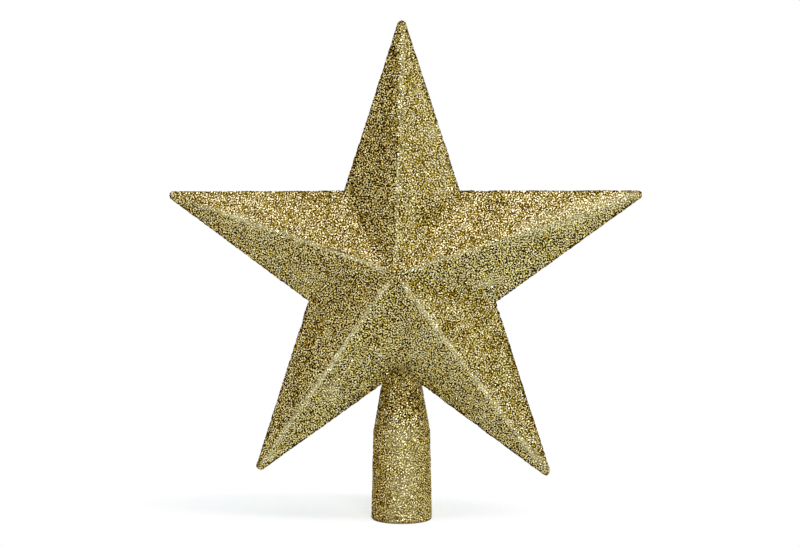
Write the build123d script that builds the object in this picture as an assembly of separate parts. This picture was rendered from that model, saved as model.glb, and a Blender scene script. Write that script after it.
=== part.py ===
from build123d import *
import os
from math import cos, radians, sin, sqrt

# Christmas tree topper: a hollow five-pointed star on a tapered socket, all in millimetres.
# +Z is up, the front of the star faces -Y, and the origin is the centre of the socket's mouth.

# Star, as moulded in plastic
arm_count = 5
star_centre_height = 100.0  # centre of the star above the socket's mouth
edge_distance = 31.75  # from the star's centre to the line of each straight outline edge
half_depth = 25.0  # from the seam plane to the front peak, and to the rear peak
rim_land = 0.8  # straight band beside the seam on the outer edge of each half
tip_radius = 1.4  # rounding of the tips, seen from the front
shell_wall = 1.2  # measured square to each facet
cavity_tip_radius = 0.8

# Glue line between the two halves, and the glitter over everything
seam_thickness = 0.15
coat_thickness = 0.4
coat_hem = 0.5  # bare plastic left at the mouth of the socket

# Pins of the front half and bosses of the rear half, one pair on each arm
pin_reach = 45.0  # from the star's centre
pin_radius = 1.5
pin_length = 5.0  # past the seam plane
post_radius = 2.6  # foot of a pin
boss_radius = 3.2
pin_clearance = 0.15

# Socket: a tube that slips over the top shoot of the tree
bore_radius = 10.0
bore_lead_in = 0.5
bore_end_gap = 1.5  # from the end of the straight bore up to the shoulder
mouth_wall = 1.75
shoulder_wall = 1.0
neck_wall = 1.2
neck_radius = 7.9  # outside, at the end of the straight taper
neck_length = 17.5  # taper from the shoulder to the nose
nose_length = 8.0  # rounded end above the taper
nose_entry = 0.25  # how far the nose reaches past the star's notch

# Spigot on the nose, held inside the star
spigot_radius = 2.6
spigot_end = 1.2  # past the upper collar

# Collars on the spigot, and the ribs of the shells between them
collar_radius = 4.6
collar_thickness = 1.5
collar_gap = 0.4  # kept between a collar and the inside of the star
rib_thickness = 2.0
rib_half_width = 12.0
rib_clearance = 0.2
socket_clearance = 0.15  # around the nose and spigot, where they pass through the shells

overrun = 1.0  # how far a cutting shape runs past what it cuts

# Worked out from the sizes above
corner_step = 180.0 / arm_count
facet_slope = (half_depth - rim_land) / edge_distance
facet_stretch = sqrt(1 + facet_slope**2)
cavity_peak = half_depth - shell_wall * facet_stretch
valley_slope = facet_slope * cos(radians(corner_step))
notch_height = star_centre_height - edge_distance / cos(radians(corner_step))
nose_height = notch_height + nose_entry
neck_height = nose_height - nose_length
shoulder_height = neck_height - neck_length
bore_depth = shoulder_height - bore_end_gap
mouth_radius = bore_radius + mouth_wall
shoulder_radius = bore_radius + shoulder_wall
collar_base = star_centre_height - (cavity_peak - collar_radius - collar_gap) / valley_slope
rib_base = collar_base + collar_thickness + rib_clearance
upper_collar_base = rib_base + rib_thickness + rib_clearance
spigot_top = upper_collar_base + collar_thickness + spigot_end

# The seam plane seen from the front: X to the right, Y up, and Z out of the front of the star
star_plane = Plane(origin=(0, 0, star_centre_height), x_dir=(1, 0, 0), z_dir=(0, -1, 0))


def star_points(distance):
    """Tips and notches of a star, in turn, whose outline edges lie on lines at this distance."""
    tip_reach = distance / cos(radians(2 * corner_step))
    notch_reach = distance / cos(radians(corner_step))
    points = []
    for corner in range(2 * arm_count):
        reach = notch_reach if corner % 2 else tip_reach
        angle = radians(corner * corner_step)
        points.append((reach * sin(angle), reach * cos(angle)))
    return points


def star_face(distance, radius):
    """Flat star with rounded tips."""
    sharp = make_face(Polyline(*star_points(distance), close=True))
    tips = sharp.vertices().sort_by(lambda corner: corner.center().length)[-arm_count:]
    return fillet(tips, radius)


def star_pyramid(offset):
    """Facets that rise from a star outline to one peak, each moved outwards by the offset."""
    peak = half_depth + offset * facet_stretch
    base = [Vector(x, y, 0) for x, y in star_points(peak / facet_slope)]
    facets = [Face(Wire.make_polygon(base))]
    for corner in range(2 * arm_count):
        facets.append(Face(Wire.make_polygon([base[corner - 1], base[corner], Vector(0, 0, peak)])))
    return Solid(Shell(facets))


def star_half(offset, radius):
    """One half of the star, from the seam plane to its peak, offset from the moulded surface."""
    prism = extrude(star_face(edge_distance + offset, radius), amount=2 * half_depth)
    return prism & star_pyramid(offset)


def on_arms(shape):
    """Copies of a shape made on the star's centre, one on each arm."""
    angles = [arm * 2 * corner_step for arm in range(arm_count)]
    return [Rot(0, 0, angle) * Pos(0, pin_reach, 0) * shape for angle in angles]


def upright(radius, low, high):
    """Cylinder square to the seam plane, between two depths."""
    return Pos(0, 0, low) * extrude(Circle(radius), amount=high - low)


def turned(*curves):
    """Solid turned about the upright axis from a closed outline drawn in the plane of X and Z."""
    return revolve(make_face(curves), axis=Axis.Z)


def upright_line(*points):
    """Line through points given as radius and height."""
    return Polyline(*[(radius, 0, height) for radius, height in points])


def ring(radius, base, thickness):
    """Disc about the upright axis, standing on a given height."""
    return Pos(0, 0, base) * extrude(Circle(radius), amount=thickness)


def socket_outside(growth, foot, top):
    """Outside of the socket without its collars, grown by a thickness, between two heights."""
    draft = (mouth_radius - shoulder_radius) / shoulder_height
    foot_radius = mouth_radius - draft * foot
    taper = (neck_radius - shoulder_radius, 0, neck_height - shoulder_height)
    tube = upright_line(
        (0, foot),
        (foot_radius + growth, foot),
        (shoulder_radius + growth, shoulder_height),
        (neck_radius + growth, neck_height),
    )
    nose_end = (spigot_radius + growth, 0, nose_height)
    nose = TangentArc((neck_radius + growth, 0, neck_height), nose_end, tangent=taper)
    spigot = upright_line((nose_end[0], nose_height), (nose_end[0], top), (0, top), (0, foot))
    return turned(tube, nose, spigot)


def retaining_rib():
    """Web inside one half, with a half-round mouth that sits between the spigot's collars."""
    middle = rib_base + rib_thickness / 2 - star_centre_height
    web = Pos(0, middle, half_depth / 2) * Box(2 * rib_half_width, rib_thickness, half_depth)
    return (web & moulded_core) - seam_gap


def bare_shell():
    """One half of the star with its rib, before the pins, bosses and socket hole."""
    skin = star_half(0, tip_radius) - star_half(-shell_wall, cavity_tip_radius) - seam_gap
    return skin + retaining_rib()


def front_shell():
    """Front half: a pin on a post in each arm."""
    post = upright(post_radius, seam_thickness / 2, half_depth)
    posts = [shape & moulded_core for shape in on_arms(post)]
    pins = on_arms(upright(pin_radius, -pin_length, seam_thickness / 2 + pin_radius))
    shell = bare_shell() + posts + pins
    return star_plane * shell - socket_hole


def rear_shell():
    """Rear half: a boss in each arm, drilled for the front half's pin."""
    boss = upright(boss_radius, seam_thickness / 2, half_depth)
    bosses = [shape & moulded_core for shape in on_arms(boss)]
    hole_end = pin_length + pin_clearance
    holes = on_arms(upright(pin_radius + pin_clearance, -overrun, hole_end))
    shell = bare_shell() + bosses - holes
    return mirror(star_plane * shell, about=Plane.XZ) - socket_hole


def seam_adhesive():
    """Glue line between the two rims, open where the socket passes."""
    rim = star_face(edge_distance, tip_radius) - star_face(edge_distance - shell_wall, cavity_tip_radius)
    return star_plane * extrude(rim, amount=seam_thickness / 2, both=True) - socket_hole


def tree_socket():
    """Drafted tube, tapering neck, and a spigot with two collars on its closed nose."""
    bore_end = nose_height - 2 * neck_wall
    bore = turned(
        upright_line(
            (0, -overrun),
            (bore_radius + bore_lead_in + overrun, -overrun),
            (bore_radius, bore_lead_in),
            (bore_radius, bore_depth),
            (neck_radius - neck_wall, neck_height),
            (spigot_radius, bore_end),
            (0, bore_end),
            (0, -overrun),
        )
    )
    body = socket_outside(0, 0, spigot_top)
    body += ring(collar_radius, collar_base, collar_thickness)
    body += ring(collar_radius, upper_collar_base, collar_thickness)
    return body - bore


def star_coat():
    """Glitter on one half of the star, in front of the seam plane."""
    outside = star_half(coat_thickness, tip_radius + coat_thickness)
    return star_plane * (outside - star_half(0, tip_radius)) - socket_hole


def socket_coat():
    """Glitter round the socket, ending against the coat of the star."""
    half = star_plane * star_half(coat_thickness, tip_radius + coat_thickness)
    skin = socket_outside(coat_thickness, coat_hem, collar_base)
    skin -= socket_outside(0, 0, spigot_top)
    return skin - half - mirror(half, about=Plane.XZ)


# Half of the star to the middle of its wall: posts, bosses and ribs end there, inside the plastic
moulded_core = star_half(-shell_wall / 2, cavity_tip_radius)
seam_gap = extrude(star_face(edge_distance + overrun, tip_radius), amount=seam_thickness / 2)
socket_hole = socket_outside(socket_clearance, 0, spigot_top + socket_clearance)

pieces = {
    "front_shell": front_shell(),
    "rear_shell": rear_shell(),
    "seam_adhesive": seam_adhesive(),
    "tree_socket": tree_socket(),
    "front_glitter_coat": star_coat(),
    "rear_glitter_coat": mirror(star_coat(), about=Plane.XZ),
    "socket_glitter_coat": socket_coat(),
}

os.makedirs("parts", exist_ok=True)
for name, shape in pieces.items():
    export_step(shape, f"parts/{name}.step")
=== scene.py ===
import math

import bmesh
import bpy
import numpy as np
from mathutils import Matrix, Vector, noise
from mathutils.geometry import delaunay_2d_cdt


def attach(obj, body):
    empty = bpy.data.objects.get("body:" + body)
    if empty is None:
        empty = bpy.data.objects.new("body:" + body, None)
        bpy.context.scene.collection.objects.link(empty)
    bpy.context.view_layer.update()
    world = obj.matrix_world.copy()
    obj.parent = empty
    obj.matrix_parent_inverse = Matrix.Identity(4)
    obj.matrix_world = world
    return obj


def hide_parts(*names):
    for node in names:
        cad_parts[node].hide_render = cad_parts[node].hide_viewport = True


# A gold glitter tree topper star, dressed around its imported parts. Lengths are in metres.
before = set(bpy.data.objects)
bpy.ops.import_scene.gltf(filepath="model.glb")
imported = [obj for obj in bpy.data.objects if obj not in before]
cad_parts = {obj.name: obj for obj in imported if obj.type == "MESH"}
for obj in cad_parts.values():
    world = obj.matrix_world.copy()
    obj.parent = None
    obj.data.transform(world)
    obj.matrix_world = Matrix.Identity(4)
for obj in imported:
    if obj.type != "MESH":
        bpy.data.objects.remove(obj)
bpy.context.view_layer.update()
RANDOM_SEED = 20
random_source = np.random.default_rng(RANDOM_SEED)

# Star: x runs right, v up from its centre, and depth out of the seam plane
ARM_COUNT = 5
STEP = math.pi / ARM_COUNT  # from a ridge to the next valley
STAR_CENTRE = 0.100
EDGE_DISTANCE = 0.03175  # centre to the line of each outline edge, in bare plastic
HALF_DEPTH = 0.025
RIM_LAND = 0.0008  # straight band beside the seam
TIP_RADIUS = 0.0014
COAT = 0.0004  # thickness of the glitter
SLOPE = (HALF_DEPTH - RIM_LAND) / EDGE_DISTANCE
TIP_REACH_SHARE = 1 / math.cos(2 * STEP)
NOTCH_REACH_SHARE = 1 / math.cos(STEP)
COAT_EDGE = EDGE_DISTANCE + COAT
COAT_TIP_RADIUS = TIP_RADIUS + COAT
COAT_PEAK = HALF_DEPTH + COAT * math.hypot(1, SLOPE)
COAT_REACH = COAT_EDGE * TIP_REACH_SHARE  # centre to the tips, as if they weren't rounded
TIP_ARC_CENTRE = COAT_REACH - COAT_TIP_RADIUS / math.sin(STEP / 2)

# Socket under the star
MOUTH_RADIUS = 0.01175
SHOULDER_RADIUS = 0.0110
NECK_RADIUS = 0.0079
SPIGOT_RADIUS = 0.0026
NOSE_ENTRY = 0.00025  # how far the nose reaches past the star's notch
NOSE_LENGTH = 0.0080
NECK_LENGTH = 0.0175
NOSE_TOP = STAR_CENTRE - EDGE_DISTANCE * NOTCH_REACH_SHARE + NOSE_ENTRY
NECK_TOP = NOSE_TOP - NOSE_LENGTH
SHOULDER_TOP = NECK_TOP - NECK_LENGTH
COAT_HEM = 0.0005  # bare plastic left at the mouth
NOSE_MARGIN = 0.004  # how far above the nose the star is still compared with it
NOSE_STEPS = 1200  # heights tried for the place where they meet
NOSE_LINE_TURN = 80  # degrees to each side of the front
NOSE_LINE_POINTS = 41

# Glitter: one flake is one small facet of the coat
FLAKE_PITCH = 0.00060  # between flake corners, seen square to the seam plane
ROW_PITCH = FLAKE_PITCH * math.sin(math.pi / 3)
FLAKE_SHIFT = 0.30  # how far a corner strays from its even place, in pitches
FLAKE_TILT = 0.00015  # how far a corner stands proud or sinks
LUMP_HEIGHT = 0.00012
LUMP_WAVE = 0.009
WANDER_WAVE = 0.006  # size of the unevenness in the outline and in worn and dark marks
RIDGE_SOFTENING = 0.0006
VALLEY_SOFTENING = 0.0010
RIM_ROUNDING = 0.0006
RIM_ROUGHNESS = 0.00030  # how far flakes stand in or out from the outline
RIM_WAVE = 0.00030  # unevenness of the outline
RIM_GAP = 0.5  # least distance of a corner from the outline, in pitches
NOSE_GAP = 0.4  # least distance of a corner from the socket's nose, in pitches
SCATTER_PASSES = 3  # times that bright flakes are kept from gathering
MEAN_FLAKE = 0.6  # brightness that stays as it is where the contrast changes


def smooth_step(low, high, value):
    """Rises from 0 to 1 between two values."""
    share = np.clip((value - low) / (high - low), 0, 1)
    return share * share * (3 - 2 * share)


def lump(points, wave):
    """Gentle noise from about -1 to 1 at each point."""
    return np.array([noise.noise(Vector(point) / wave) for point in points])


def face_lump(x, v, layer, wave):
    """The same over the face of the star, different on each layer."""
    return lump(np.stack([x, v, np.full(len(x), layer)], axis=1), wave)


# Star surface

def fold(x, v):
    """Distance along the nearest ridge, off it, and off the nearest valley, and level towards the rim."""
    reach = np.hypot(x, v)
    off_ridge = np.abs((np.arctan2(x, v) + STEP) % (2 * STEP) - STEP)
    along = reach * np.cos(off_ridge)
    across = reach * np.sin(off_ridge)
    to_valley = reach * np.sin(STEP - off_ridge)
    level = reach * np.cos(2 * STEP - off_ridge)
    return along, across, to_valley, level


def facet_depth(x, v):
    """Depth of the coated star over its seam plane, with softened ridges and valleys."""
    _, across, to_valley, level = fold(x, v)
    ridge = np.hypot(across, RIDGE_SOFTENING) - across
    valley = np.hypot(to_valley, VALLEY_SOFTENING) - to_valley
    return COAT_PEAK - SLOPE * (level + math.sin(2 * STEP) * ridge - math.sin(STEP) * valley)


def rim_distance(x, v):
    """Distance from a point inside the star to its outline, negative outside."""
    along, across, _, level = fold(x, v)
    from_centre = np.hypot(along - TIP_ARC_CENTRE, across)
    in_tip = along - TIP_ARC_CENTRE > from_centre * math.cos(2 * STEP)
    return np.where(in_tip, COAT_TIP_RADIUS - from_centre, COAT_EDGE - level)


def rolled_depth(x, v):
    """Depth of the coat with its rim rolled over."""
    inside = np.clip(rim_distance(x, v), 0, RIM_ROUNDING)
    fall = RIM_ROUNDING - np.sqrt(RIM_ROUNDING**2 - (RIM_ROUNDING - inside) ** 2)
    return facet_depth(x, v) - fall


def heading(angle):
    """Unit direction at an angle clockwise from straight up."""
    return np.array([math.sin(angle), math.cos(angle)])


def tip_point(axis, turn):
    """Point on the rounded tip of the arm at an angle, turned from the arm's own direction."""
    return TIP_ARC_CENTRE * heading(axis) + COAT_TIP_RADIUS * heading(axis + turn)


def spread(start, end):
    """Points about a flake apart, from one place towards another, without the last."""
    count = max(1, round(float(np.linalg.norm(end - start)) / FLAKE_PITCH))
    return [start + (end - start) * i / count for i in range(count)]


def star_outline():
    """Points round the coated star, clockwise from the top arm."""
    arc_count = math.ceil(4 * STEP * COAT_TIP_RADIUS / FLAKE_PITCH)
    turns = [2 * STEP * (2 * i / arc_count - 1) for i in range(arc_count + 1)]
    points = []
    for arm in range(ARM_COUNT):
        axis = 2 * STEP * arm
        arc = [tip_point(axis, turn) for turn in turns]
        notch = COAT_EDGE * NOTCH_REACH_SHARE * heading(axis + STEP)
        next_arc = tip_point(axis + 2 * STEP, -2 * STEP)
        points += arc[:-1] + spread(arc[-1], notch) + spread(notch, next_arc)
    return np.array(points)


# Socket surface

def socket_radius(z, growth):
    """Outside radius of the socket at a height, grown by a coat."""
    taper = np.array([NECK_RADIUS - SHOULDER_RADIUS, NECK_TOP - SHOULDER_TOP])
    taper = taper / np.linalg.norm(taper)
    inward = np.array([-taper[1], taper[0]])
    chord = np.array([SPIGOT_RADIUS - NECK_RADIUS, NOSE_TOP - NECK_TOP])
    bend = chord @ chord / (2 * chord @ inward)
    nose_centre = np.array([NECK_RADIUS, NECK_TOP]) + bend * inward
    nose = nose_centre[0] + np.sqrt(np.clip(bend**2 - (z - nose_centre[1]) ** 2, 0, None))
    tube = np.interp(z, [0, SHOULDER_TOP, NECK_TOP], [MOUTH_RADIUS, SHOULDER_RADIUS, NECK_RADIUS])
    return np.where(z > NECK_TOP, nose, tube) + growth


def socket_top(turn):
    """Height at which the coated socket runs into the star, at an angle from the front."""
    z = np.linspace(SHOULDER_TOP, NOSE_TOP + NOSE_MARGIN, NOSE_STEPS)
    v = z - STAR_CENTRE
    radius = socket_radius(z, COAT)
    x = radius * math.sin(turn)
    inside = (rim_distance(x, v) > 0) & (facet_depth(x, v) > radius * abs(math.cos(turn)))
    return float(z[np.argmax(inside)])


def nose_line():
    """Where the socket's nose meets the front of the star, from right to left."""
    points = []
    for turn in np.radians(np.linspace(NOSE_LINE_TURN, -NOSE_LINE_TURN, NOSE_LINE_POINTS)):
        top = socket_top(turn)
        points.append((float(socket_radius(top, COAT)) * math.sin(turn), top - STAR_CENTRE))
    return np.array(points)


def coat_boundary():
    """Edge of one half's coat: the star's outline, with the socket's nose let into the lower notch."""
    rim = star_outline()
    z = rim[:, 1] + STAR_CENTRE
    under_socket = (np.abs(rim[:, 0]) < socket_radius(z, COAT)) & (rim[:, 1] < 0)
    under_socket &= (z > SHOULDER_TOP) & (z < NOSE_TOP + COAT)
    first = int(np.argmax(under_socket))
    last = len(rim) - int(np.argmax(under_socket[::-1]))
    arch = nose_line()
    boundary = np.concatenate([rim[:first], arch, rim[last:]])
    on_arch = np.zeros(len(boundary), bool)
    on_arch[first:first + len(arch)] = True
    return boundary, on_arch


# Meshes of flakes
INSIDE_ONLY = 1  # asks the triangulation for the inside of the boundary alone
SAME_POINT = 1e-6  # closer than this two corners are one, in pitches


def flake_lattice():
    """Loosely even flake corners that cover the inside of the star's outline."""
    rows = math.ceil(COAT_REACH / ROW_PITCH)
    columns = math.ceil(COAT_REACH / FLAKE_PITCH)
    i, j = np.meshgrid(np.arange(-columns, columns + 1), np.arange(-rows, rows + 1))
    x = (i + 0.5 * (j % 2)) * FLAKE_PITCH
    v = j * ROW_PITCH
    points = np.stack([x.ravel(), v.ravel()], axis=1)
    points += random_source.uniform(-FLAKE_SHIFT, FLAKE_SHIFT, points.shape) * FLAKE_PITCH
    x, v = points.T
    z = v + STAR_CENTRE
    beside_nose = np.hypot(x, facet_depth(x, v)) > socket_radius(z, COAT + NOSE_GAP * FLAKE_PITCH)
    keep = rim_distance(x, v) > RIM_GAP * FLAKE_PITCH
    keep &= beside_nose | (z > NOSE_TOP + NOSE_MARGIN)
    return points[keep]


def triangulate(boundary, inner):
    """Points and triangles inside the boundary, and the places of the boundary's points among them."""
    points = np.concatenate([boundary, inner]) / FLAKE_PITCH
    coordinates = [Vector(point) for point in points]
    edge = list(range(len(boundary)))
    result = delaunay_2d_cdt(coordinates, [], [edge], INSIDE_ONLY, SAME_POINT)
    vertices, faces, sources = result[0], result[2], result[3]
    placed = np.array([(vertex.x, vertex.y) for vertex in vertices]) * FLAKE_PITCH
    place_of = {source[0]: place for place, source in enumerate(sources) if source}
    return placed, [tuple(face) for face in faces], [place_of[i] for i in edge]


def add_mesh(name, vertices, faces):
    """New object from its points and faces."""
    mesh = bpy.data.meshes.new(name)
    mesh.from_pydata([tuple(vertex) for vertex in vertices], [], faces)
    mesh.validate()
    piece = bpy.data.objects.new(name, mesh)
    bpy.context.collection.objects.link(piece)
    return piece


def fix_normals(piece):
    """Turns every face of a closed piece outwards."""
    grid = bmesh.new()
    grid.from_mesh(piece.data)
    bmesh.ops.recalc_face_normals(grid, faces=grid.faces)
    grid.to_mesh(piece.data)
    grid.free()


def lay_out(piece, corners):
    """Lays the faces out on a flat sheet from 0 to 1, so that their colours can be painted onto it."""
    layer = piece.data.uv_layers.new(name="OFBake")
    layer.data.foreach_set("uv", np.concatenate(corners).astype(np.float32).ravel())


def set_values(piece, name, values):
    """Stores one number for each face."""
    layer = piece.data.attributes.new(name, "FLOAT", "FACE")
    layer.data.foreach_set("value", np.asarray(values, np.float32))


def face_centres(vertices, faces):
    """Middle of each face."""
    return np.array([vertices[list(face)].mean(axis=0) for face in faces])


def neighbour_mean(values, corners, owners):
    """Mean of each flake's value and those of the flakes that share a corner with it."""
    per_corner = np.bincount(corners, weights=values[owners]) / np.bincount(corners)
    return np.bincount(owners, weights=per_corner[corners]) / np.bincount(owners)


def ranked(values):
    """Each value's place in order of size, from 0 to 1."""
    places = np.empty(len(values))
    places[np.argsort(values)] = np.arange(len(values)) / len(values)
    return places


def sprinkle(piece, gloss, contrast):
    """Gives each flake its brightness and its gloss, with bright flakes kept from gathering."""
    polygons = piece.data.polygons
    count = len(polygons)
    corners = np.empty(len(piece.data.loops), np.int32)
    piece.data.loops.foreach_get("vertex_index", corners)
    sides = np.empty(count, np.int32)
    polygons.foreach_get("loop_total", sides)
    owners = np.repeat(np.arange(count), sides)
    brightness = random_source.uniform(0, 1, count)
    for _ in range(SCATTER_PASSES):
        brightness = ranked(brightness - neighbour_mean(brightness, corners, owners))
    set_values(piece, "flake", MEAN_FLAKE + contrast * (brightness - MEAN_FLAKE))
    set_values(piece, "gloss", random_source.uniform(0, gloss, count))


# Marks of the star. Wear is where the glitter is thin and its pale ground shows.
# A worn ridge: arm, start and end as shares of the arm, sideways shift, half width, strength
RIDGE_WEAR = [
    (0, 0.03, 0.42, 0.0003, 0.0006, 0.55),
    (0, 0.42, 0.92, 0.0009, 0.0010, 0.38),
    (1, 0.03, 0.80, 0.0005, 0.0008, 0.55),
    (2, 0.05, 0.95, 0.0, 0.0010, 1.00),
    (3, 0.04, 0.85, 0.0, 0.0010, 1.00),
    (4, 0.04, 0.85, 0.0, 0.0009, 0.95),
]
# A mark of the front: x and v of its middle, half length, half width, turn from level in degrees, amount
PALE_MARKS = [
    (0.084, 0.0275, 0.014, 0.0030, 14, 0.50),
    (0.062, 0.0225, 0.020, 0.0025, 18, 0.40),
    (0.076, 0.0260, 0.004, 0.0020, 10, 0.60),
    (0.052, 0.0152, 0.004, 0.0016, 15, 0.20),
    (0.0646, 0.0152, 0.003, 0.0020, 0, 0.15),
    (0.034, -0.0045, 0.006, 0.0020, 20, 0.50),
    (0.022, 0.016, 0.012, 0.0009, 30, 0.45),
    (0.017, 0.032, 0.0055, 0.0010, 20, 0.35),
    (0.007, 0.071, 0.004, 0.0012, -25, 0.40),
    (0.013, 0.055, 0.006, 0.0035, 70, 0.30),
    (0.0178, 0.0433, 0.003, 0.0020, 0, 0.30),
    (-0.027, -0.0485, 0.007, 0.0045, 50, 0.35),
    (-0.054, -0.076, 0.007, 0.0022, 54, 0.50),
    (0.0555, -0.075, 0.006, 0.0022, -54, 0.50),
    (-0.060, 0.020, 0.014, 0.0030, -18, 0.30),
    (0.062, 0.0184, 0.028, 0.0018, 17.5, 0.45),
]
# Lighter patches of painted light over the facets of the front.
PAINTED_LIGHT_MARKS = [
    (0.074, 0.0265, 0.014, 0.0040, 14, 0.08),
    (0.010, 0.066, 0.016, 0.0040, -72, 0.04),
    (0.010, -0.039, 0.014, 0.0060, -40, 0.08),
    (-0.028, -0.052, 0.014, 0.0050, 50, 0.03),
    (0.046, -0.055, 0.020, 0.0050, -60, 0.03),
    (0.030, -0.050, 0.022, 0.0060, -45, 0.03),
    (0.0087, 0.0121, 0.006, 0.0030, 54, 0.05),
    (0.055, 0.0200, 0.010, 0.0030, 18, 0.04),
    (-0.058, 0.0265, 0.010, 0.0030, -12, 0.04),
    (-0.0009, -0.036, 0.008, 0.0050, 0, 0.05),
    (-0.0027, -0.0112, 0.005, 0.0030, 60, 0.04),
    (-0.0105, 0.0600, 0.010, 0.0020, 75, 0.07),
    (-0.0541, -0.0751, 0.008, 0.0030, 54, 0.04),
    (0.0200, 0.0340, 0.008, 0.0040, 60, 0.04),
    (0.0240, -0.0420, 0.035, 0.0100, -54, 0.066),
    (-0.0200, -0.0450, 0.035, 0.0090, 54, 0.02),
    (-0.0184, 0.0231, 0.008, 0.0030, -54, 0.06),
    (0.0236, 0.0211, 0.010, 0.0040, 36, 0.06),
    (0.0006, -0.0276, 0.008, 0.0040, 90, 0.06),
    (0.0419, -0.0394, 0.010, 0.0035, -72, 0.08),
    (-0.0231, -0.0293, 0.008, 0.0040, 54, 0.06),
    (-0.0677, 0.0171, 0.008, 0.0030, -36, 0.06),
    (0.062, 0.0184, 0.028, 0.0022, 17.5, 0.06),
]
# Darker patches on the front: mostly painted shade over the facets and in the valleys, with a few real
# dark marks such as a crack.
SHADE_AND_DARK_MARKS = [
    (-0.012, 0.017, 0.018, 0.0060, -55, 0.02),
    (-0.017, -0.003, 0.011, 0.0030, -10, 0.07),
    (0.024, -0.0084, 0.010, 0.0020, -5, 0.05),
    (-0.0222, 0.0082, 0.0055, 0.00045, -16, 0.55),
    (-0.011, -0.025, 0.009, 0.0045, 60, 0.06),
    (0.054, 0.010, 0.009, 0.0040, 20, 0.05),
    (-0.0015, 0.055, 0.035, 0.0016, 90, 0.06),
    (-0.003, 0.024, 0.009, 0.0035, 80, 0.05),
    (0.011, 0.024, 0.008, 0.0040, 54, 0.06),
    (0.021, 0.017, 0.008, 0.0040, 54, 0.05),
    (0.0135, -0.0060, 0.008, 0.0045, 0, 0.05),
    (-0.030, 0.0027, 0.009, 0.0040, -16, 0.08),
    (-0.045, -0.050, 0.025, 0.0040, 70, 0.05),
    (-0.037, -0.029, 0.012, 0.0045, 72, 0.09),
    (-0.008, 0.055, 0.025, 0.0060, 75, 0.06),
    (-0.017, 0.042, 0.010, 0.0040, 72, 0.05),
    (-0.084, 0.0250, 0.009, 0.0040, -20, 0.09),
    (0.022, -0.024, 0.008, 0.0060, -54, 0.08),
    (0.034, -0.022, 0.008, 0.0050, -72, 0.05),
    (0.0207, 0.0044, 0.009, 0.0040, 30, 0.06),
    (-0.0185, 0.0033, 0.008, 0.0030, -10, 0.10),
    (-0.0031, 0.0277, 0.010, 0.0050, 80, 0.09),
    (-0.0216, 0.0171, 0.006, 0.0040, -54, 0.05),
    (-0.0040, 0.0845, 0.010, 0.0030, 78, 0.11),
    (0.0530, -0.0710, 0.010, 0.0040, -60, 0.08),
    (0.0269, -0.0599, 0.014, 0.0030, -36, 0.03),
    (-0.0080, -0.0240, 0.009, 0.0045, 60, 0.10),
    (-0.0640, 0.0130, 0.020, 0.0050, -28, 0.04),
    (-0.0100, 0.0480, 0.040, 0.0100, 78, 0.082),
    (0.0450, -0.0450, 0.040, 0.0080, -66, 0.060),
    (-0.0036, 0.0666, 0.007, 0.0030, 80, 0.10),
    (-0.0167, 0.0540, 0.010, 0.0025, 72, 0.12),
    (-0.0193, 0.0400, 0.008, 0.0030, 72, 0.11),
    (0.0000, 0.0237, 0.008, 0.0040, 90, 0.08),
    (-0.0332, 0.0280, 0.008, 0.0040, 0, 0.06),
    (0.0371, 0.0258, 0.008, 0.0040, 0, 0.07),
    (0.0283, 0.0080, 0.010, 0.0035, 18, 0.04),
    (0.0281, -0.0387, 0.008, 0.0050, -54, 0.08),
]
MARK_FADE = (0.3, 1.2)  # where a mark starts to fade and where it is gone, in half sizes
MARK_WANDER = 0.35  # unevenness of its edge
LINE_FADE = (0.3, 1.5)  # where a worn ridge starts to fade and where it is gone, in half widths
LINE_WANDER = 0.0006
LINE_START = (-0.03, 0.03)  # where it sets in, about its start
LINE_END = (-0.10, 0.05)  # where it dies out, about its end
LINE_LEVEL = 0.85
LINE_SCATTER = 0.6
PATCH_WAVE = 0.0024  # size of the patches that wear breaks into
PATCH_LEVEL = 0.95
PATCH_SCATTER = 1.1
WANDER_LAYER = 0.01  # layers of noise, so that unevenness, hue and patches differ
TINT_LAYER = 0.02
PATCH_LAYER = 0.03

# Looks of the star's facets by the way they face, with painted light and shade in their tone, hue,
# contrast and outline; fades are cosines or sines of that direction
STAR_GLOSS = 1.0  # gloss of the glossiest flakes
SHADED_CONTRAST = 0.30  # added where a facet faces down or left
LEFT_FADE = (0.5, 0.9)
LEFT_DEPTH = 0.45  # how much less lit a facet is that faces left
LEFT_BROWN = 0.25
LEFT_SHADE = 0.048
LIT_FADE = (0, 0.8)
# Hue by the way a facet faces is painted light colour: browner where it faces up or left, greener where it
# faces down or right.
GREEN_LEVEL = 0.53
GREEN_BY_RISE = 0.13
GREEN_BY_SIDE = 0.18
GREEN_WAVE = 0.0008
GREEN_SCATTER = 1.2  # how far the hue wanders among a few flakes
SHADED_SCATTER = 0.4  # share of that where a facet faces down
SCATTER_FADE = (-0.8, 0.3)
# Painted shade in the valleys and along the outline, most where a facet faces down or left; the seam line
# is a real dark joint.
VALLEY_SHADE = 0.05
VALLEY_REACH = 0.007
SEAM_SHADE = 0.25  # dark line along the seam
RIM_SHADE = 0.34
RIM_REACH = 0.0013
RIM_SHADE_ABOVE = 0.35  # share of the rim's shade where a facet faces up
RIM_SHADE_LEFT = 0.35  # what is added where it faces left
RIM_SHADE_FADE = (0.2, -0.6)
RIM_PATCH_LEVEL = 0.8
RIM_PATCH_SCATTER = 1.2


def marks(x, v, wander, table):
    """Strongest of a table's soft-edged marks at each place."""
    strongest = np.zeros(len(x))
    for middle_x, middle_v, length, width, turn, amount in table:
        cosine = math.cos(math.radians(turn))
        sine = math.sin(math.radians(turn))
        along = ((x - middle_x) * cosine + (v - middle_v) * sine) / length
        across = ((v - middle_v) * cosine - (x - middle_x) * sine) / width
        edge = np.hypot(along, across) + MARK_WANDER * wander
        strongest = np.maximum(strongest, amount * (1 - smooth_step(*MARK_FADE, edge)))
    return strongest


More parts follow.
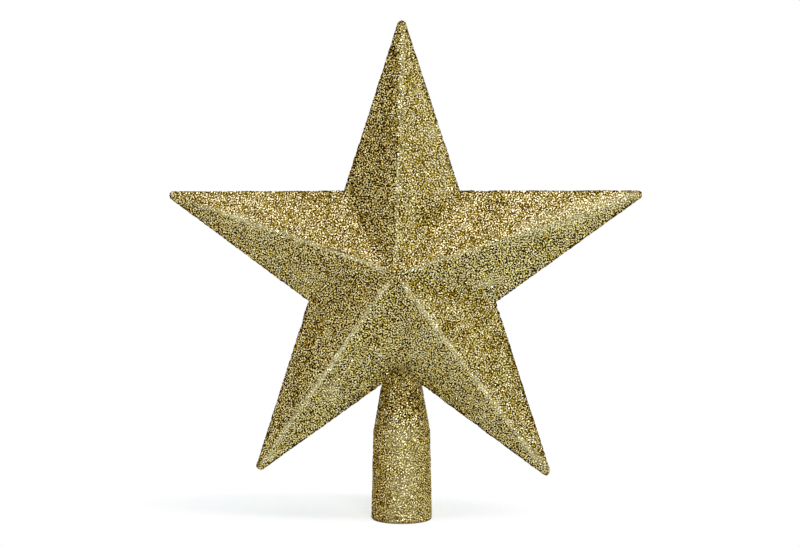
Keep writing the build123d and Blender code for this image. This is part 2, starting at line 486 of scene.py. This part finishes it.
def star_wear(x, v, wander, patches, side):
    """How far the glitter has worn off at each place of the star, from 0 to 1."""
    worn = marks(x, v, wander, PALE_MARKS) if side < 0 else np.zeros(len(x))
    uneven = np.clip(LINE_LEVEL + LINE_SCATTER * wander, 0, 1)
    for arm, start, end, shift, width, strength in RIDGE_WEAR:
        axis = heading(2 * STEP * (arm if side < 0 else -arm))
        along = (x * axis[0] + v * axis[1]) / COAT_REACH
        across = np.abs(x * axis[1] - v * axis[0] - shift + LINE_WANDER * wander)
        line = 1 - smooth_step(LINE_FADE[0] * width, LINE_FADE[1] * width, across)
        begun = smooth_step(start + LINE_START[0], start + LINE_START[1], along)
        ended = smooth_step(end + LINE_END[0], end + LINE_END[1], along)
        run = begun * (1 - ended)
        worn = np.maximum(worn, strength * line * run * uneven)
    return worn * np.clip(PATCH_LEVEL + PATCH_SCATTER * patches, 0, 1)


def star_facing(x, v):
    """Direction in which the facet at each place slopes, clockwise from straight up, seen from outside."""
    turn = np.arctan2(x, v)
    arm = np.round(turn / (2 * STEP)) * 2 * STEP
    return arm + 2 * STEP * np.where(turn > arm, 1, -1)


def star_left(facing):
    """1 where a facet faces left, where painted shade makes the gold darker and deeper, and 0 elsewhere.
    """
    return smooth_step(*LEFT_FADE, -np.sin(facing))


def star_lit(facing):
    """Painted light: 1 where a facet faces up or right, into the light, 0 where it faces down, and less to
    the left.
    """
    return smooth_step(*LIT_FADE, np.cos(facing - STEP)) - LEFT_DEPTH * star_left(facing)


def star_contrast(facing):
    """Contrast between bright and dark flakes, raised on the facets in painted shade."""
    return 1 + SHADED_CONTRAST * (1 - star_lit(facing))


def star_green(facing, tint):
    """How green rather than brown the gold is: painted light colour by the way a facet faces, brownest on
    facets that face up or left, with a random hue among the flakes.
    """
    even = GREEN_LEVEL - GREEN_BY_RISE * np.cos(facing) + GREEN_BY_SIDE * np.sin(facing)
    even = even - LEFT_BROWN * star_left(facing)
    share = SHADED_SCATTER + (1 - SHADED_SCATTER) * smooth_step(*SCATTER_FADE, np.cos(facing))
    return even + GREEN_SCATTER * share * tint


def star_tone(x, v, facing, wander, side):
    """Painted light and shade of the glitter at each place of the star: darker in the valleys, on facets
    that face left and along the outline, with lighter and darker patches on the front.
    """
    _, _, to_valley, _ = fold(x, v)
    tone = -VALLEY_SHADE * (1 - smooth_step(0, VALLEY_REACH, to_valley))
    tone = tone - LEFT_SHADE * star_left(facing)
    below = RIM_SHADE_ABOVE + (1 - RIM_SHADE_ABOVE) * smooth_step(*RIM_SHADE_FADE, np.cos(facing))
    below = below + RIM_SHADE_LEFT * star_left(facing)
    patchy = np.clip(RIM_PATCH_LEVEL + RIM_PATCH_SCATTER * wander, 0, 1)
    tone = tone - RIM_SHADE * below * patchy * (1 - smooth_step(0, RIM_REACH, rim_distance(x, v)))
    if side < 0:
        tone = tone + marks(x, v, wander, PAINTED_LIGHT_MARKS) - marks(x, v, wander, SHADE_AND_DARK_MARKS)
    return tone


# Glitter coat of the star
SEAM_GROOVE = 0.00018
INNER_SHARE = EDGE_DISTANCE / COAT_EDGE
# Rows that close the coat, down the rim to the seam, in under the coat, and up the plastic.
# Each has its reach as a share of the rim's, its depth as a share of the rim's, or None for the depth
# of the plastic's own band, and its sink beside the nose in coats.
RIM_ROWS = [
    (1.0, 0.5, 0.15),
    (1 - SEAM_GROOVE / COAT_EDGE, 0.0, 0.25),
    (INNER_SHARE, 0.0, 0.8),
    (INNER_SHARE, None, 1.0),
]

# Flat layout of a star coat: rim rows unfolded outwards, and the inside as a small star between the legs
SHEET_ROW_SHARES = (1.012, 1.024, 1.032, 1.044)
SHEET_SIZE = 0.210
SHEET_MIDDLE = (0.105, 0.094)
ISLAND_SHARE = 0.14
ISLAND_PLACE = np.array([0, -0.070])


def star_skin(side):
    """Rough outside of one half: points, flakes, loop of its edge, and which of that is on the nose."""
    boundary, on_arch = coat_boundary()
    flat, flakes, loop = triangulate(boundary, flake_lattice())
    x, v = flat.T
    depth = np.where(rim_distance(x, v) > 0, rolled_depth(x, v), facet_depth(x, v) - RIM_ROUNDING)
    depth[np.array(loop)[on_arch]] = facet_depth(*boundary[on_arch].T)
    places = np.stack([x, side * depth, v], axis=1)
    depth = depth + LUMP_HEIGHT * lump(places, LUMP_WAVE)
    depth = depth + random_source.uniform(-FLAKE_TILT, FLAKE_TILT, len(depth))
    skin = np.stack([x, depth, v], axis=1)
    rough = random_source.uniform(-RIM_ROUGHNESS, RIM_ROUGHNESS, len(loop))
    rough += RIM_WAVE * lump(places[loop], WANDER_WAVE)
    rough = 1 + np.where(on_arch, 0, rough) / np.hypot(x, v)[loop]
    skin[loop, 0] *= rough
    skin[loop, 2] *= rough
    return skin, flakes, loop, on_arch


def close_star(skin, loop, on_arch):
    """Points of the whole coat, faces of its rim, and faces of its inside, which meet at one peak."""
    rim = skin[loop]
    points = [skin]
    loops = [loop]
    count = len(skin)
    for reach, rim_share, arch_sink in RIM_ROWS:
        row = rim * np.array([reach, 1, reach])
        rim_depth = RIM_LAND if rim_share is None else rim[:, 1] * rim_share
        row[:, 1] = np.where(on_arch, rim[:, 1] - COAT * arch_sink, rim_depth)
        points.append(row)
        loops.append(list(range(count, count + len(row))))
        count += len(row)
    points.append(np.array([[0, HALF_DEPTH, 0]]))
    walls = []
    for upper, lower in zip(loops, loops[1:]):
        walls += [(upper[i - 1], upper[i], lower[i], lower[i - 1]) for i in range(len(upper))]
    last = loops[-1]
    inside = [(last[i - 1], last[i], count) for i in range(len(last))]
    return np.concatenate(points), walls, inside


def star_sheet(skin, loop):
    """Each point's place on the flat layout, for the outside and for the inside."""
    flat = skin[:, [0, 2]]
    unfolded = [flat] + [flat[loop] * share for share in SHEET_ROW_SHARES] + [np.zeros((1, 2))]
    unfolded = np.concatenate(unfolded)
    outside = (unfolded + SHEET_MIDDLE) / SHEET_SIZE
    inside = (unfolded * ISLAND_SHARE + ISLAND_PLACE + SHEET_MIDDLE) / SHEET_SIZE
    return outside, inside


def star_coat(name, side):
    """Closed glitter skin of one half; side is -1 for the front and 1 for the rear."""
    skin, flakes, loop, on_arch = star_skin(side)
    points, walls, inside = close_star(skin, loop, on_arch)
    faces = flakes + walls + inside
    piece = add_mesh(name, points * np.array([1, side, 1]) + np.array([0, 0, STAR_CENTRE]), faces)
    outer_sheet, inner_sheet = star_sheet(skin, loop)
    corners = [outer_sheet[list(face)] for face in flakes + walls]
    corners += [inner_sheet[list(face)] for face in inside]
    lay_out(piece, corners)
    fix_normals(piece)

    x, depth, v = face_centres(points, faces).T
    facing = star_facing(-side * x, v)
    wander = face_lump(x, v, WANDER_LAYER * side, WANDER_WAVE)
    patches = face_lump(x, v, PATCH_LAYER * side, PATCH_WAVE)
    tint = face_lump(x, v, TINT_LAYER * side, GREEN_WAVE)
    # Tone, hue, contrast and the lit share carry painted light and shade by the way each facet faces.
    tone = star_tone(x, v, facing, wander, side)
    rim = slice(len(flakes), len(flakes) + len(walls))
    tone[rim] -= SEAM_SHADE * (1 - smooth_step(0, RIM_LAND, depth[rim]))
    sprinkle(piece, STAR_GLOSS, star_contrast(facing))
    set_values(piece, "tone", tone)
    set_values(piece, "wear_and_sheen", star_wear(x, v, wander, patches, side))
    set_values(piece, "green", star_green(facing, tint))
    set_values(piece, "lit", star_lit(facing))
    return piece


# Glitter coat of the socket
SOCKET_COLUMNS = round(2 * math.pi * SHOULDER_RADIUS / FLAKE_PITCH)
SOCKET_ROWS = round(NOSE_TOP / ROW_PITCH)
SHEET_OUTSIDE = 0.80  # share of the flat layout's height that the outside takes
SHEET_MARGIN = 0.01  # kept at its sides, twice on the right for faces carried over
INSIDE_ROWS = [  # rows down the plastic: share of the coat's height, and height on the flat layout
    (1.0, 0.84),
    (0.85, 0.88),
    (0.6, 0.92),
    (0.0, 0.97),
]
SOCKET_GLOSS = 0.2
SOCKET_CONTRAST = 0.85
NECK_CONTRAST = 1.30
FRONT_FADE = (0, 0.5)  # cosines from the front between which the front's own look sets in
STRIPE_MIDDLE = 0.0016  # x of the pale stripe down the front, a painted highlight
STRIPE_FADE = (0.003, 0.009)  # distances from its middle between which it fades
STRIPE_TOP = (SHOULDER_TOP - 0.003, SHOULDER_TOP + 0.009)  # heights between which it fades
STRIPE_WANDER = 0.001
STRIPE_LEVEL = 0.8
STRIPE_SHADE = 0.018
# Painted highlight down the front, in the colours of worn glitter.
SOCKET_PAINTED_SHEEN = 0.33
SIDE_FADE = (-0.002, -0.007)  # x between which the painted shade of the left side sets in
# The sides, off the stripe, get painted shade: darker on the left, browner and less lit all round.
SIDE_SHADE = 0.026
SIDE_BROWN = 0.30
SIDE_LIT = 0.16
NECK_FADE = (SHOULDER_TOP - 0.002, NECK_TOP - 0.003)  # heights between which the neck darkens with painted shadow under the star
NECK_SHADE = 0.14
NECK_BROWN = 0.4  # share of the sides' painted shade brown on the neck
NECK_LIT = 0.30
# Painted contact shadow along the hem.
HEM_SHADE = 0.20
HEM_REACH = 0.0012
CHIP_PLACE = (-0.0007, 0.0023)  # x and height of a dark chip at the front of the mouth
CHIP_REACH = 0.0010
CHIP_CORE = 0.6
CHIP_SHADE = 0.7


def round_socket(radius, turns, z):
    """Points round the socket, at angles from the front."""
    return np.stack([radius * np.sin(turns), -radius * np.cos(turns), z], axis=1)


def socket_rows(turns, tops):
    """Points up the outside of the coat and down its inside, and their places on the flat layout."""
    columns = len(turns)
    points = []
    sheet = []
    for row in range(SOCKET_ROWS + 1):
        stray = random_source.uniform(-FLAKE_SHIFT, FLAKE_SHIFT, columns)
        strayed = turns + (row % 2) * math.pi / columns
        strayed = strayed + stray * 2 * math.pi / columns
        top = np.interp(strayed, turns, tops, period=2 * math.pi)
        z = COAT_HEM + row / SOCKET_ROWS * (top - COAT_HEM)
        between = 0 < row < SOCKET_ROWS
        z = z + random_source.uniform(-FLAKE_SHIFT, FLAKE_SHIFT, columns) * FLAKE_PITCH * between
        radius = socket_radius(z, COAT)
        radius = radius + LUMP_HEIGHT * lump(round_socket(radius, strayed, z), LUMP_WAVE)
        radius = radius + random_source.uniform(-FLAKE_TILT, FLAKE_TILT, columns)
        points.append(round_socket(radius, strayed, z))
        sheet.append(np.stack([strayed / (2 * math.pi), z / tops.max() * SHEET_OUTSIDE], axis=1))
    for share, sheet_height in INSIDE_ROWS:
        z = COAT_HEM + share * (tops - COAT_HEM)
        points.append(round_socket(socket_radius(z, 0), turns, z))
        sheet.append(np.stack([turns / (2 * math.pi), np.full(columns, sheet_height)], axis=1))
    return np.concatenate(points), np.concatenate(sheet)


def socket_faces():
    """Flakes between the rows up the outside, then faces down the inside and under the hem."""
    columns = SOCKET_COLUMNS
    row_count = SOCKET_ROWS + 1 + len(INSIDE_ROWS)
    loops = np.arange(row_count * columns).reshape(row_count, columns).tolist()
    faces = []
    for row in range(SOCKET_ROWS):
        low, high = loops[row], loops[row + 1]
        for i in range(columns):
            j = (i + 1) % columns
            if row % 2:
                faces += [(low[i], low[j], high[j]), (low[i], high[j], high[i])]
            else:
                faces += [(low[i], low[j], high[i]), (low[j], high[j], high[i])]
    inside = loops[SOCKET_ROWS:] + loops[:1]
    for low, high in zip(inside, inside[1:]):
        faces += [(low[i - 1], low[i], high[i], high[i - 1]) for i in range(columns)]
    return faces


def socket_corners(sheet, faces):
    """Corners of the faces on the flat layout, with faces carried over its right side and its top."""
    corners = [sheet[list(face)] for face in faces]
    for face_corners in corners:
        across = face_corners[:, 0]
        if np.ptp(across) > 0.5:
            across[across < 0.5] += 1
        face_corners[:, 0] = (across + SHEET_MARGIN) / (1 + 3 * SHEET_MARGIN)
    for face_corners in corners[-SOCKET_COLUMNS:]:
        face_corners[2:, 1] = 1.0
    return corners


def socket_coat(name):
    """Closed glitter skin round the socket, from its hem up to the star."""
    turns = 2 * math.pi * np.arange(SOCKET_COLUMNS) / SOCKET_COLUMNS
    tops = np.array([socket_top(turn) for turn in turns]) + COAT
    points, sheet = socket_rows(turns, tops)
    faces = socket_faces()
    piece = add_mesh(name, points, faces)
    lay_out(piece, socket_corners(sheet, faces))
    fix_normals(piece)

    centres = face_centres(points, faces)
    x, y, z = centres.T
    wander = lump(centres, WANDER_WAVE)
    front = smooth_step(*FRONT_FADE, -y / np.hypot(x, y))
    # Painted light and shade round the socket: a pale highlight stripe down the front, shade on the left
    # side, a shadow on the neck under the star and a contact shadow at the hem. The chip is a real mark.
    stripe = 1 - smooth_step(*STRIPE_FADE, np.abs(x - STRIPE_MIDDLE + STRIPE_WANDER * wander))
    low = 1 - smooth_step(*STRIPE_TOP, z)
    painted_highlight = front * stripe * low
    tone = -NECK_SHADE * smooth_step(*NECK_FADE, z) - STRIPE_SHADE * painted_highlight
    hem = 1 - smooth_step(COAT_HEM, HEM_REACH, z)
    tone -= SIDE_SHADE * smooth_step(*SIDE_FADE, x) + HEM_SHADE * hem
    chip = np.hypot(x - CHIP_PLACE[0], z - CHIP_PLACE[1])
    tone -= CHIP_SHADE * front * (1 - smooth_step(CHIP_CORE * CHIP_REACH, CHIP_REACH, chip))
    # Browner sides and the lit share are painted shade and painted light round the socket.
    brown = SIDE_BROWN * (1 - stripe) * (NECK_BROWN + (1 - NECK_BROWN) * low)
    lit = low * (SIDE_LIT + (1 - SIDE_LIT) * stripe) + (1 - low) * NECK_LIT
    sprinkle(piece, SOCKET_GLOSS, SOCKET_CONTRAST + (NECK_CONTRAST - SOCKET_CONTRAST) * (1 - low))
    # Painted highlight down the front, stored with the worn places of the star.
    set_values(piece, "wear_and_sheen", SOCKET_PAINTED_SHEEN * painted_highlight * np.clip(STRIPE_LEVEL + wander, 0, 1))
    set_values(piece, "tone", tone)
    set_values(piece, "green", GREEN_LEVEL - brown + GREEN_BY_SIDE * x / np.hypot(x, y))
    set_values(piece, "lit", front * lit)
    return piece


# Materials

class Nodes:
    """Short way to add and join shader nodes."""

    def __init__(self, tree):
        self.tree = tree
        tree.nodes.clear()

    def set(self, socket, value):
        """Joins a node's output to a socket, or sets the socket to a plain value."""
        if isinstance(value, bpy.types.NodeSocket):
            self.tree.links.new(value, socket)
        else:
            socket.default_value = value

    def add(self, kind, *values, **settings):
        """New node with its settings, and with values for its first inputs."""
        node = self.tree.nodes.new(kind)
        for key, value in settings.items():
            setattr(node, key, value)
        for socket, value in zip(node.inputs, values):
            self.set(socket, value)
        return node

    def math(self, operation, first, second=0.0, clamp=False):
        return self.add("ShaderNodeMath", first, second, operation=operation, use_clamp=clamp).outputs[0]

    def scale(self, value, start, end):
        """A value from 0 to 1, turned into one from start to end."""
        return self.math("ADD", self.math("MULTIPLY", value, end - start), start)

    def either_side(self, noise_value, amount):
        """Noise turned into a shift to either side of none."""
        return self.math("MULTIPLY", self.math("SUBTRACT", noise_value, 0.5), amount)

    def mix(self, share, first, second):
        """Blend of two colours."""
        node = self.add("ShaderNodeMix", share, data_type="RGBA")
        self.set(node.inputs[6], first)
        self.set(node.inputs[7], second)
        return node.outputs[2]

    def attribute(self, name):
        """Number stored on the faces."""
        return self.add("ShaderNodeAttribute", attribute_name=name).outputs["Fac"]

    def place(self):
        """Position in the frame."""
        return self.add("ShaderNodeTexCoord").outputs["Object"]

    def ramp(self, value, stops):
        """Colour between stops, each a position and a colour."""
        node = self.add("ShaderNodeValToRGB", value)
        elements = node.color_ramp.elements
        while len(elements) < len(stops):
            elements.new(0.5)
        for element, (position, colour) in zip(elements, stops):
            element.position = position
            element.color = (*colour, 1)
        return node.outputs[0]

    def noise(self, wave, detail):
        """Noise with lumps about a wave across."""
        node = self.add("ShaderNodeTexNoise", self.place())
        self.set(node.inputs["Scale"], 1 / wave)
        self.set(node.inputs["Detail"], detail)
        return node.outputs["Fac"]

    def cells(self, size):
        """Distance from the middle of the nearest of many small cells."""
        node = self.add("ShaderNodeTexVoronoi", self.place())
        self.set(node.inputs["Scale"], 1 / size)
        return node.outputs["Distance"]

    def bump(self, height, distance, strength):
        """Surface direction, bent by a height."""
        node = self.add("ShaderNodeBump")
        self.set(node.inputs["Height"], height)
        self.set(node.inputs["Distance"], distance)
        self.set(node.inputs["Strength"], strength)
        return node.outputs["Normal"]


def new_material(name):
    """New material, its nodes, and its shader, joined to its output."""
    material = bpy.data.materials.new(name)
    material.use_nodes = True
    nodes = Nodes(material.node_tree)
    shader = nodes.add("ShaderNodeBsdfPrincipled")
    nodes.add("ShaderNodeOutputMaterial", shader.outputs[0])
    return material, nodes, shader


# Glitter from the darkest gap between flakes to a flake that catches the light
BROWN_STOPS = [
    (0.00, (0.008, 0.0034, 0.000)),
    (0.42, (0.034, 0.0130, 0.000)),
    (0.54, (0.158, 0.0760, 0.000)),
    (0.64, (0.450, 0.2820, 0.022)),
    (0.74, (0.810, 0.6150, 0.145)),
    (0.86, (0.970, 0.8200, 0.440)),
    (1.00, (0.970, 0.8500, 0.610)),
]
GREEN_STOPS = [
    (0.00, (0.005, 0.0034, 0.000)),
    (0.42, (0.024, 0.0135, 0.000)),
    (0.54, (0.110, 0.0790, 0.000)),
    (0.64, (0.363, 0.2920, 0.030)),
    (0.74, (0.690, 0.6230, 0.165)),
    (0.86, (0.910, 0.8500, 0.480)),
    (1.00, (0.940, 0.8900, 0.670)),
]
WORN_AND_SHEEN_STOPS = [
    (0.20, (0.400, 0.355, 0.170)),
    (0.55, (0.620, 0.580, 0.330)),
    (1.00, (0.830, 0.800, 0.550)),
]
PAINTED_LIGHT_LEAST = 0.49  # least brightness of the flakes on facets that face into the light: painted light
SHADED_BLUE_POWER = 0.88  # painted shade colour: out of the light, pale and deep gold are made to differ less in blue
SHADED_BLUE = 0.77
LIT_BLUE = 1.01
TONE_NOISE = [(0.012, 3.0, 0.06), (0.004, 2.0, 0.06)]  # wave, detail and amount
GREEN_NOISE = (0.014, 3.0, 0.25)
GREEN_BY_TONE = 2.0
WORN_AND_SHEEN_SHARE = 0.85
METAL_FROM = 0.85  # brightness from which a flake is bare metal
GLITTER_ROUGHNESS = 0.62
GLOSS_SMOOTHING = 0.4  # what the glossiest flakes lose of that
GLITTER_SPECULAR = 0.01
GLITTER_SPECULAR_TINT = (0.9, 0.72, 0.30, 1)
GRAIN_SIZE = 0.00028
GRAIN_HEIGHT = 0.00006
GRAIN_STRENGTH = 0.5

PLASTIC_STOPS = [(0.3, (0.17, 0.120, 0.035)), (0.7, (0.25, 0.180, 0.060))]
PLASTIC_MOTTLE = (0.006, 3.0)  # wave and detail
PLASTIC_GRAIN = (0.0009, 3.0)
PLASTIC_GRAIN_HEIGHT = 0.00003
PLASTIC_GRAIN_STRENGTH = 0.4
PLASTIC_ROUGHNESS = (0.5, 0.7)

GLUE_STOPS = [(0.3, (0.05, 0.035, 0.012)), (0.7, (0.09, 0.065, 0.025))]
GLUE_MOTTLE = (0.003, 2.0)
GLUE_ROUGHNESS = 0.3


def even_blue(nodes, colour, lit):
    """Painted shade colour: blue of the gold, evened out between pale and deep flakes on facets out of the
    light.
    """
    red, green, blue = nodes.add("ShaderNodeSeparateColor", colour).outputs
    power = nodes.scale(lit, SHADED_BLUE_POWER, 1)
    level = nodes.scale(lit, SHADED_BLUE, LIT_BLUE)
    blue = nodes.math("MULTIPLY", nodes.math("POWER", blue, power), level)
    return nodes.add("ShaderNodeCombineColor", red, green, blue).outputs[0]


def glitter_material():
    """Gold by each flake's own brightness, worn places, tone and hue, with painted light and shade in the
    tone, hue and blue, and a painted highlight down the socket.
    """
    material, nodes, shader = new_material("gold_glitter")
    flake = nodes.attribute("flake")
    tone = nodes.attribute("tone")
    lit = nodes.attribute("lit")
    # Painted light: the darkest flakes are lifted on facets that face into the light.
    value = nodes.math("MAXIMUM", flake, nodes.math("MULTIPLY", lit, PAINTED_LIGHT_LEAST))
    value = nodes.math("ADD", value, tone)
    for wave, detail, amount in TONE_NOISE:
        value = nodes.math("ADD", value, nodes.either_side(nodes.noise(wave, detail), amount))
    wave, detail, amount = GREEN_NOISE
    hue_shift = nodes.either_side(nodes.noise(wave, detail), amount)
    greenness = nodes.math("ADD", nodes.attribute("green"), hue_shift)
    greenness = nodes.math("ADD", greenness, nodes.math("MULTIPLY", tone, GREEN_BY_TONE), clamp=True)
    colour = nodes.mix(greenness, nodes.ramp(value, BROWN_STOPS), nodes.ramp(value, GREEN_STOPS))
    colour = even_blue(nodes, colour, lit)
    # Worn places of the star, and the painted highlight down the socket.
    worn = nodes.math("MULTIPLY", nodes.attribute("wear_and_sheen"), WORN_AND_SHEEN_SHARE)
    colour = nodes.mix(worn, colour, nodes.ramp(flake, WORN_AND_SHEEN_STOPS))
    smoothing = nodes.math("MULTIPLY", nodes.attribute("gloss"), GLOSS_SMOOTHING)
    nodes.set(shader.inputs["Base Color"], colour)
    nodes.set(shader.inputs["Metallic"], nodes.math("GREATER_THAN", value, METAL_FROM))
    nodes.set(shader.inputs["Roughness"], nodes.math("SUBTRACT", GLITTER_ROUGHNESS, smoothing))
    nodes.set(shader.inputs["Specular IOR Level"], GLITTER_SPECULAR)
    nodes.set(shader.inputs["Specular Tint"], GLITTER_SPECULAR_TINT)
    grain = nodes.bump(nodes.cells(GRAIN_SIZE), GRAIN_HEIGHT, GRAIN_STRENGTH)
    nodes.set(shader.inputs["Normal"], grain)
    return material


def plastic_material():
    """Dull brown moulding under the glitter, which shows at the mouth and in the bore."""
    material, nodes, shader = new_material("moulded_plastic")
    mottle = nodes.noise(*PLASTIC_MOTTLE)
    nodes.set(shader.inputs["Base Color"], nodes.ramp(mottle, PLASTIC_STOPS))
    nodes.set(shader.inputs["Roughness"], nodes.scale(mottle, *PLASTIC_ROUGHNESS))
    grain = nodes.bump(nodes.noise(*PLASTIC_GRAIN), PLASTIC_GRAIN_HEIGHT, PLASTIC_GRAIN_STRENGTH)
    nodes.set(shader.inputs["Normal"], grain)
    return material


def glue_material():
    """Dark glue of the seam."""
    material, nodes, shader = new_material("cured_glue")
    nodes.set(shader.inputs["Base Color"], nodes.ramp(nodes.noise(*GLUE_MOTTLE), GLUE_STOPS))
    nodes.set(shader.inputs["Roughness"], GLUE_ROUGHNESS)
    return material


def dress(piece, material):
    """Gives a piece one material."""
    piece.data.materials.clear()
    piece.data.materials.append(material)


# Stage: white floor, white surroundings, soft lamps and the camera
FLOOR_SIZE = 1.5  # from its middle to each side
FLOOR_COLOUR = (0.97, 0.97, 0.97, 1)
FLOOR_SHADOW = (-0.032, 0.024, 0.0)  # middle of the floor that shows its own light and shade
FLOOR_REACH = (0.093, 0.036, 1.0)
FLOOR_FADE = (0.5, 1.0)  # shares of that reach between which they fade into white
FLOOR_SHARE = (0.735, 0.790, 0.825, 1)  # how much of that light and shade is seen
FLOOR_GLOW = 0.335  # what tops it up towards white there
WHITE = (1, 1, 1, 1)
WHITE_STRENGTH = 1.0
AMBIENT = 0.04
LAMPS = [  # name, place, width, power in watts, colour
    ("front", (0.31, -1.02, 0.17), 0.5, 9.1, (1.0, 1.0, 0.98)),
    ("top", (0.0, 0.10, 0.95), 1.5, 5.6, (1.0, 0.94, 0.92)),
    ("back", (-0.25, 0.70, 0.80), 0.6, 3.0, (1.0, 1.0, 1.0)),
    ("rear", (-0.31, 1.02, 0.17), 0.5, 7.0, (1.0, 1.0, 0.98)),
]
CAMERA_TURN = math.radians(6.4)  # to the right of the star's front
CAMERA_RISE = math.radians(2.0)
CAMERA_DISTANCE = 0.621
CAMERA_TARGET = Vector((-0.0007, 0, 0.0990))
CAMERA_LENS = 69.55  # millimetres, as the film's width
CAMERA_FILM = 36.0
CAMERA_NEAR = 0.01


def seen_directly(nodes):
    """1 for rays from the camera, reflections and glass, and 0 for light between dull surfaces."""
    path = nodes.add("ShaderNodeLightPath")
    seen = nodes.math("ADD", path.outputs["Is Camera Ray"], path.outputs["Is Glossy Ray"])
    return nodes.math("ADD", seen, path.outputs["Is Transmission Ray"], clamp=True)


def floor_material():
    """White to the eye, except for the object's shadow, and dull in the light that it gives back."""
    material = bpy.data.materials.new("white_floor")
    material.use_nodes = True
    nodes = Nodes(material.node_tree)
    offset = nodes.add("ShaderNodeVectorMath", nodes.place(), FLOOR_SHADOW, operation="SUBTRACT")
    share = nodes.add("ShaderNodeVectorMath", offset.outputs["Vector"], FLOOR_REACH, operation="DIVIDE")
    away = nodes.add("ShaderNodeVectorMath", share.outputs["Vector"], operation="LENGTH")
    distance = away.outputs["Value"]
    fade = nodes.add("ShaderNodeMapRange", distance, *FLOOR_FADE, interpolation_type="SMOOTHSTEP")
    shade = nodes.add("ShaderNodeBsdfDiffuse", FLOOR_SHARE)
    glow = nodes.add("ShaderNodeEmission", WHITE, FLOOR_GLOW)
    topped_up = nodes.add("ShaderNodeAddShader", shade.outputs[0], glow.outputs[0])
    white = nodes.add("ShaderNodeEmission", WHITE, WHITE_STRENGTH)
    seen = nodes.add("ShaderNodeMixShader", fade.outputs[0], topped_up.outputs[0], white.outputs[0])
    dull = nodes.add("ShaderNodeBsdfDiffuse", FLOOR_COLOUR)
    blend = nodes.add("ShaderNodeMixShader", seen_directly(nodes), dull.outputs[0], seen.outputs[0])
    nodes.add("ShaderNodeOutputMaterial", blend.outputs[0])
    return material


def add_floor():
    """Large flat floor, which isn't part of the object."""
    corners = [(-1, -1), (1, -1), (1, 1), (-1, 1)]
    floor = add_mesh("floor", [(FLOOR_SIZE * x, FLOOR_SIZE * y, 0) for x, y in corners], [(0, 1, 2, 3)])
    dress(floor, floor_material())


def add_world():
    """White to the eye, and a little light from all round."""
    world = bpy.data.worlds.new("white_surroundings")
    world.use_nodes = True
    nodes = Nodes(world.node_tree)
    ambient = nodes.add("ShaderNodeBackground", WHITE, AMBIENT)
    white = nodes.add("ShaderNodeBackground", WHITE, WHITE_STRENGTH)
    blend = nodes.add("ShaderNodeMixShader", seen_directly(nodes), ambient.outputs[0], white.outputs[0])
    nodes.add("ShaderNodeOutputWorld", blend.outputs[0])
    bpy.context.scene.world = world


def add_lamp(name, place, size, power, colour):
    """Round lamp that faces the middle of the star."""
    lamp = bpy.data.lights.new(name, "AREA")
    lamp.shape = "DISK"
    lamp.size = size
    lamp.energy = power
    lamp.color = colour
    holder = bpy.data.objects.new(name, lamp)
    holder.location = place
    aim = Vector((0, 0, STAR_CENTRE)) - Vector(place)
    holder.rotation_euler = aim.to_track_quat("-Z", "Y").to_euler()
    bpy.context.collection.objects.link(holder)


def add_camera():
    """Camera at the photograph's angle."""
    camera = bpy.data.cameras.new("camera")
    camera.lens = CAMERA_LENS
    camera.sensor_width = CAMERA_FILM
    camera.sensor_fit = "HORIZONTAL"
    camera.clip_start = CAMERA_NEAR
    holder = bpy.data.objects.new("camera", camera)
    back = Vector((
        math.sin(CAMERA_TURN) * math.cos(CAMERA_RISE),
        -math.cos(CAMERA_TURN) * math.cos(CAMERA_RISE),
        math.sin(CAMERA_RISE),
    ))
    holder.location = CAMERA_TARGET + CAMERA_DISTANCE * back
    holder.rotation_euler = (-back).to_track_quat("-Z", "Y").to_euler()
    bpy.context.collection.objects.link(holder)
    bpy.context.scene.camera = holder


glitter = glitter_material()
coats = {
    "front_glitter_coat": star_coat("front_glitter", -1),
    "rear_glitter_coat": star_coat("rear_glitter", 1),
    "socket_glitter_coat": socket_coat("socket_glitter"),
}
for node, piece in coats.items():
    dress(piece, glitter)
    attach(piece, "root")
    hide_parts(node)

plastic = plastic_material()
for node in ("front_shell", "rear_shell", "tree_socket"):
    dress(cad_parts[node], plastic)
dress(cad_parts["seam_adhesive"], glue_material())

add_floor()
add_world()
for lamp in LAMPS:
    add_lamp(*lamp)
add_camera()
bpy.context.scene.view_settings.view_transform = "Standard"
